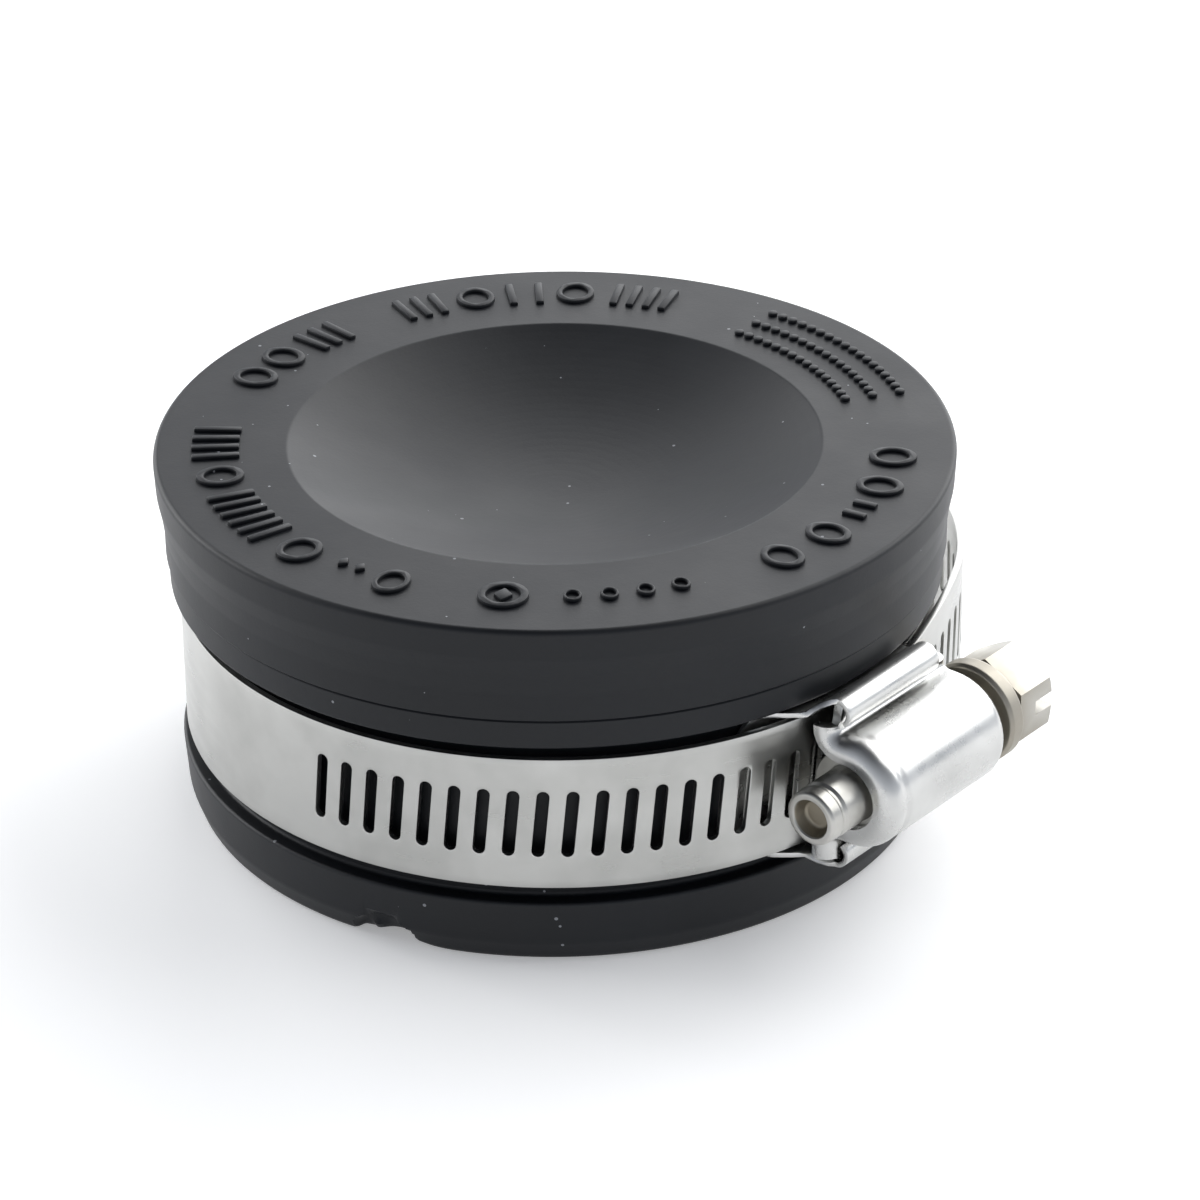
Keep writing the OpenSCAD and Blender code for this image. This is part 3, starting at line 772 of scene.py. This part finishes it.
def makeBand():
    tree = makeStripTree()
    pitch = band["pitch"]
    half = band["width"] / 2
    endFrom = band["endFrom"] * pitch
    seam = math.degrees(band["firstCell"] * pitch / band["radius"])

    def endHalf(x):  # the free end's rounded corners
        past = max(0.0, x - (band["tailEnd"] - band["tailRound"]))
        return half - band["tailRound"] + math.sqrt(max(0.0, band["tailRound"] ** 2 - past ** 2))

    rounding = band["tailEnd"] - band["tailRound"]
    endColumns = [endFrom, (endFrom + rounding) / 2]
    endColumns += [rounding + band["tailRound"] * math.sin(math.radians(90 * k / 10)) for k in range(11)]
    slot = cellObject("slotCell", slotCell)
    columns = [pitch * k / 4 for k in range(-2, 3)]
    plain = cellObject("plainCell", lambda bm: flatGrid(bm, columns, lambda x: half))
    end = cellObject("endCell", lambda bm: flatGrid(bm, endColumns, endHalf))
    nothing = cellObject("nothing", lambda bm: None)

    step = 0.25
    start = band["firstCell"] * pitch
    stations = [start + step * k for k in range(int((band["tailEnd"] - start) / step) + 2)]
    freePath = pathObject("freePath", [bandPath(s) for s in stations])
    values = {"Pitch": pitch * mm, "First": band["firstCell"], "Cells": band["endFrom"] - band["firstCell"]}
    values |= {"Slots from": band["slots"][0], "Slots to": band["slots"][1], "Material": rolledStrip}
    values |= {"Slot cell": slot, "Plain cell": plain, "End cell": end, "Path": freePath}
    free = thickened(grow(tree, values), band["thickness"])

    last = 360 + seam
    angles = [fixedRun["from"] + (last - fixedRun["from"]) * k / 600 for k in range(601)]
    points = [fixedPath(a) for a in angles]
    cellLength = polylineLength(points) / fixedRun["cells"]
    shortColumns = [cellLength * k / 4 for k in range(-2, 3)]
    shortPlain = cellObject("shortPlain", lambda bm: flatGrid(bm, shortColumns, lambda x: half))
    underPath = pathObject("underPath", points)
    values = {"Pitch": cellLength * mm, "First": 0, "Cells": fixedRun["cells"], "Material": rolledStrip}
    values |= {"Slot cell": slot, "Plain cell": shortPlain, "End cell": nothing, "Path": underPath}
    values |= {"Grain shift": start - fixedRun["cells"] * cellLength}
    fixed = thickened(grow(tree, values), band["thickness"])
    for helper in (slot, plain, end, nothing, shortPlain, freePath, underPath):
        bpy.data.objects.remove(helper)

    def atSeam(edge):  # the two stretches are one strip there, so nothing is rounded
        return all((v.co - aroundClamp(seam, band["radius"])).to_2d().length < 0.5 for v in edge.verts)

    for bm in (free, fixed):
        softenEdges(bm, band["edgeRound"], keep=atSeam)
    piece = asObject(free, "clampBand", rolledStrip)
    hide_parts("clamp_band")
    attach(piece, "band")
    piece = asObject(fixed, "bandFixedRun", rolledStrip)
    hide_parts("band_fixed_end")
    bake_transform(piece)


makeBand()
print("clamp band made")


# the housing: one sheet pressed into a barrel, with both ends turned in and two feet
housing = {
    "sheet": 0.89,
    "barrelR": 4.8,  # to the middle of the sheet
    "footOut": 36.3,  # how far out from the clamp's centre the feet lie
    "footTip": 7.75,  # height of a foot's tip, up and down from mid band
    "footFillet": 0.9,
    "front": -7.35,  # stations of the end walls along the screw
    "back": 8.75,
    "straightRun": 7.5,  # drawn inwards from each end wall, stopping short of the middle
    "frontRound": 1.15,
    "backRound": 0.75,
    "frontHole": 3.1,
    "backHole": 3.38,
    "creaseAt": -5.6,  # the press leaves a shallow crease behind the front shoulder
    "creaseDepth": 0.13,
    "creaseWidth": 0.3,
    "rollReach": 6.2,  # the feet are full width inside the saddle's rolled edges
    "footStep": 0.3,  # along the screw, from that width to the free width
    "shortFoot": 5.95,
    "longFoot": 7.3,  # the lower foot keeps its width in front
    "footFree": 5.7,
    "bandClear": 34.8,  # the turned-in ends stop short of the band
    "edgeRound": 0.09,
}


def housingSection():  # half of the section from a foot's tip up to the barrel's top, as (height, out)
    r, out = housing["barrelR"], housing["footOut"]
    corners = [(housing["footTip"], out, 0), (r, out, housing["footFillet"]), (r, axisOut, 0)]
    line = roundedLine(corners, longest=0.6)
    arch = [math.radians(90 * k / 14) for k in range(1, 15)]
    return line + [Vector((r * math.cos(t), axisOut + r * math.sin(t))) for t in arch]


def housingStations():  # (along the screw, how far the wall is turned in)
    line = []
    middle = (housing["front"] + housing["back"]) / 2
    ends = [(housing["front"], housing["frontRound"], housing["frontHole"], 1)]
    ends.append((housing["back"], housing["backRound"], housing["backHole"], -1))
    for at, bend, hole, way in ends:
        deep = housing["barrelR"] - hole
        corners = [(at, deep, 0), (at, 0, bend), (at + way * housing["straightRun"], 0, 0)]
        part = roundedLine(corners, stepAngle=11, longest=0.35)
        line.append([(p.x, p.y) for p in part if (p.x - middle) * way < 0])
    return line[0] + [(middle, 0.0)] + line[1][::-1]


def footLimit(x, upper):
    if abs(x) < housing["rollReach"]:
        return housing["footTip"]
    wide = housing["shortFoot"] if upper or x > 0 else housing["longFoot"]
    share = min(1.0, (abs(x) - housing["rollReach"]) / housing["footStep"])
    return housing["footTip"] + (wide - housing["footTip"]) * share


def makeHousing():
    section = housingSection()
    normals = []
    for i, point in enumerate(section):
        along = section[min(i + 1, len(section) - 1)] - section[max(i - 1, 0)]
        inwards = Vector((-along.y, along.x)) if point.y < axisOut - 0.01 else Vector((0, axisOut)) - point
        normals.append(inwards.normalized())
    normals[0] = Vector((0, -1))
    deepest = housing["barrelR"] - housing["frontHole"]
    footShare = (housing["footOut"] - housing["bandClear"]) / deepest
    free, tip = housing["footFree"], housing["footTip"]
    bm = bmesh.new()
    rows = []
    for x, deep in housingStations():
        crease = housing["creaseDepth"] * math.exp(-((x - housing["creaseAt"]) / housing["creaseWidth"]) ** 2)
        row = []
        for side in (1, -1):
            half = []
            for point, inwards in zip(section, normals):
                share = 1 - (1 - footShare) * abs(inwards.y) if point.y < axisOut - 0.01 else 1
                height, out = point + inwards * (deep * share + crease)
                if height > free:
                    height = free + (height - free) * (footLimit(x, side > 0) - free) / (tip - free)
                half.append(atClamp(x, out, side * height))
            row += half if side > 0 else half[-2::-1]
        rows.append([bm.verts.new(spot) for spot in row])
    gridFaces(bm, rows)
    solid = thickened(bm, housing["sheet"])
    softenEdges(solid, housing["edgeRound"], minAngle=50)
    piece = asObject(solid, "wormHousing", pressedSheet)
    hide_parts("worm_housing")
    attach(piece, "housing")


makeHousing()
print("housing made")


# the saddle: a strap under the band, whose edges rise and curl over the housing's feet
saddle = {
    "sheet": 0.45,
    "strapR": 33.025,  # to the middle of the sheet
    "halfWidth": 7.2,
    "bend": 0.45,  # radius of the fold from strap to wing
    "wingAt": 7.0,
    "wingFoot": 33.6,
    "wingTop": 34.473,  # where the wing starts to lean outwards
    "lean": 0.8,
    "curlAt": (7.0, 36.3),  # height and distance out of the curl's middle
    "curlR": 1.175,
    "curlFrom": -40,
    "curlTo": 143,
    "halfLength": 6.45,
    "rampLength": 4.5,
    "lipLength": 7.0,
    "lipRound": 3.0,
    "edgeRound": 0.06,
}


def curlSection():  # wing and curl as (height, out), up to the curl's widest point, and beyond it
    height, out = saddle["curlAt"]
    r = saddle["curlR"]

    def onCurl(angle):
        return Vector((height + r * math.cos(math.radians(angle)), out + r * math.sin(math.radians(angle))))

    start = onCurl(saddle["curlFrom"])
    corners = [(height, saddle["wingFoot"], 0), (height, saddle["wingTop"], saddle["lean"]), (*start, 0)]
    wing = roundedLine(corners, longest=0.5)
    rising = wing + [onCurl(a) for a in range(saddle["curlFrom"] + 10, 1, 10)]
    closing = [onCurl(a) for a in range(0, saddle["curlTo"] + 1, 11)]
    return rising, closing


def makeSaddle():
    strap, bend, wing = saddle["strapR"], saddle["bend"], saddle["wingAt"]
    half, ramp, lip = saddle["halfLength"], saddle["rampLength"], saddle["lipLength"]
    width = saddle["halfWidth"]
    rising, closing = curlSection()
    widest = rising[-1].y
    lipEnd = (half + lip) / strap
    lipRound = saddle["lipRound"]
    lipTurns = [lipEnd - lipRound * (1 - math.cos(math.radians(a))) / strap for a in range(0, 91, 9)]
    stations = [-strap * math.sin(turn) for turn in lipTurns]
    stations = [x for x in stations if x < -half - ramp - 0.1]
    stations += [-half - ramp + ramp * k / 12 for k in range(13)]
    stations += [-half + 2 * half * k / 24 for k in range(1, 25)]
    bm = bmesh.new()
    strapRows = [(wing - bend) * k / 8 for k in range(9)]
    for side in (1, -1):
        rows = []
        for x in stations:
            base = math.sqrt(strap ** 2 - x ** 2)
            run = lipEnd * strap - math.asin(-x / strap) * strap if x < 0 else lip + half
            past = max(0.0, lipRound - run)
            edge = width - lipRound + math.sqrt(max(0.0, lipRound ** 2 - past ** 2))
            share = edge / width
            row = [(height * share, base) for height in strapRows]
            top = base + (widest - base) * min(1.0, (x + half + ramp) / ramp)
            if x <= -half - ramp:
                count = 3 + len(rising)
                heights = [min(wing - bend + 0.2 * (k + 1), width) for k in range(count)]
                row += [(height * share, base) for height in heights]
            else:
                fold = [math.radians(a) for a in (30, 60, 90)]
                row += [(wing - bend + bend * math.sin(a), base + bend * (1 - math.cos(a))) for a in fold]
                row += [(p.x, max(p.y, base + bend)) for p in rising]
                row = [point if point[1] <= top else None for point in row]
                last = next((k for k, point in enumerate(row) if point is None), None)
                if last is not None:
                    full = [(wing, base + bend)] + [(p.x, p.y) for p in rising]
                    above = next((p for p in full if p[1] > top), full[-1])
                    row = row[:last] + [(above[0] if above[0] > wing else wing, top)] * (len(row) - last)
            rows.append([bm.verts.new(atClamp(x, out, side * height)) for height, out in row])
        gridFaces(bm, rows)
        rows = []
        for x in stations[-25:]:
            rows.append([bm.verts.new(atClamp(x, p.y, side * p.x)) for p in closing])
        gridFaces(bm, rows)
    bmesh.ops.remove_doubles(bm, verts=bm.verts, dist=0.02)
    bmesh.ops.dissolve_degenerate(bm, edges=bm.edges, dist=0.01)
    solid = thickened(bm, saddle["sheet"])
    softenEdges(solid, saddle["edgeRound"], minAngle=50)
    piece = asObject(solid, "housingSaddle", pressedSheet)
    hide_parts("housing_saddle")
    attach(piece, "housing")


makeSaddle()
print("saddle made")


# the worm screw, with stations along its axis from the middle of the housing
screw = {
    "tip": -12.6,
    "pilotR": 2.6,
    "cupR": 1.7,
    "cupDepth": 1.15,
    "front": -6.8,  # inner face of the front wall, less its clearance
    "back": 8.2,
    "flangeR": 3.9,
    "flange": 0.6,
    "coreR": 3.3,
    "threadR": 4.1,
    "threadFrom": -5.715,
    "turns": 4.5,
    "pitch": 2.54,
    "crest": 0.5,
    "flank": 0.2,
    "neckR": 3.3,
    "collar": (10.4, 12.8),
    "collarR": 4.8,
    "hexAcross": 8.0,
    "hexEnd": 17.6,
    "hexChamfer": 0.55,
    "slot": (1.4, 2.6),  # width and depth
    "edgeRound": 0.1,
    "runOut": 14,  # steps over which the ridge of the thread fades at each end
    "stains": {"cup": 1.0, "collar": 0.75, "head": 0.35, "rest": 0.1},
}


def aboutScrew(radius, along, angle):  # angle in degrees, right-handed towards the head
    a = math.radians(angle)
    return atClamp(along, axisOut - radius * math.sin(a), -radius * math.cos(a))


def screwOutline():
    tip, pilot, cup = screw["tip"], screw["pilotR"], screw["cupR"]
    low, high = screw["collar"]
    front, back, flange, core = screw["front"], screw["back"], screw["flangeR"], screw["coreR"]
    floor = tip + screw["cupDepth"]
    corners = [(0, floor, 0), (cup * 0.75, floor, 0.35), (cup, tip + 0.25, 0.1), (cup + 0.15, tip, 0.06)]
    corners += [(pilot - 0.1, tip, 0.35), (pilot - 0.02, tip + 1.3, 0.1), (pilot - 0.2, tip + 1.55, 0.1)]
    corners += [(pilot - 0.2, tip + 1.85, 0.1), (pilot, tip + 2.1, 0.1), (pilot, front, 0.1)]
    frontEnd, backStart = front + screw["flange"], back - screw["flange"]
    corners += [(flange, front, 0.15), (flange, frontEnd, 0.15), (core, frontEnd, 0.1)]
    corners += [(core, backStart, 0.1), (flange, backStart, 0.15), (flange, back, 0.15)]
    corners += [(screw["neckR"], back, 0.1), (screw["neckR"], low, 0.25)]
    corners += [(screw["collarR"] - 0.25, low, 0.2), (screw["collarR"], low + 0.35, 0.25)]
    corners += [(screw["collarR"], high - 0.75, 0.3), (screw["collarR"] - 0.75, high, 0.25), (0, high, 0)]
    return roundedLine(corners, longest=0.8)


def threadRidge(bm):
    half, flank = screw["crest"] / 2, screw["flank"]
    foot = screw["coreR"] - 0.2
    shape = [(-half - flank, foot), (-half, screw["threadR"]), (half, screw["threadR"]), (half + flank, foot)]
    steps = 48
    rings = []
    for k in range(int(screw["turns"] * steps) + 1):
        turn = k / steps
        along = screw["threadFrom"] + screw["pitch"] * (turn + 0.5)
        fade = min(screw["runOut"], k + 2, screw["turns"] * steps - k + 2) / screw["runOut"]
        ring = [aboutScrew(foot + (r - foot) * fade, along + x, 360 * turn) for x, r in shape]
        rings.append([bm.verts.new(spot) for spot in ring])
    gridFaces(bm, rings, closed=True)
    bm.faces.new(rings[0])
    bm.faces.new(rings[-1][::-1])


def hexHead():
    width, depth = screw["slot"]
    start, end = screw["collar"][1] - 0.1, screw["hexEnd"]
    corner = screw["hexAcross"] / 2 / math.cos(math.radians(30))
    bodies = []
    bm = bmesh.new()
    spin(bm, [(0, start), (corner, start), (corner, end), (0, end)], roundTurns(6), aboutScrew)
    bodies.append(bm)
    bm = bmesh.new()
    chamfer = [(0, start - 1), (corner + 0.3, start - 1), (corner + 0.3, end - screw["hexChamfer"] - 0.2)]
    chamfer += [(screw["hexAcross"] / 2 - 0.15, end), (screw["hexAcross"] / 2 - 0.15, end + 1), (0, end + 1)]
    spin(bm, chamfer, roundTurns(72), aboutScrew)
    bodies.append(bm)
    bm = bmesh.new()
    bmesh.ops.create_cube(bm, size=1)
    bmesh.ops.scale(bm, vec=(2 * depth, 4 * corner, width), verts=bm.verts)
    bmesh.ops.translate(bm, vec=atClamp(end, axisOut, 0), verts=bm.verts)
    bodies.append(bm)
    for body in bodies:
        outward(body)
    names = ("head", "cone", "cutter")
    head, cone, cutter = (asObject(body, name, None) for body, name in zip(bodies, names))
    for other, operation in ((cone, "INTERSECT"), (cutter, "DIFFERENCE")):
        cut = head.modifiers.new(operation.lower(), "BOOLEAN")
        cut.operation = operation
        cut.object = other
    result = settled(head)
    bpy.data.objects.remove(cone)
    bpy.data.objects.remove(cutter)
    softenEdges(result, screw["edgeRound"], minAngle=22)
    return result


def makeScrew():
    bm = bmesh.new()
    spin(bm, screwOutline(), roundTurns(96), aboutScrew)
    threadRidge(bm)
    absorb(bm, hexHead())
    outward(bm)
    tarnish = bm.verts.layers.float.new("tarnish")
    stains = screw["stains"]
    high = screw["collar"][1]
    for v in bm.verts:
        along = v.co.x - clampCentre.x
        radius = (v.co - atClamp(along, axisOut, 0)).length
        stain = stains["rest"]
        if along < screw["tip"] + screw["cupDepth"] + 0.1 and radius < screw["cupR"] + 0.1:
            stain = stains["cup"]
        elif along > screw["back"]:
            stain = stains["collar"] if along < high + 0.05 else stains["head"]
        v[tarnish] = stain
    piece = asObject(bm, "wormScrew", turnedScrew)
    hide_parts("worm_screw")
    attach(piece, "screw")


makeScrew()
print("screw made")
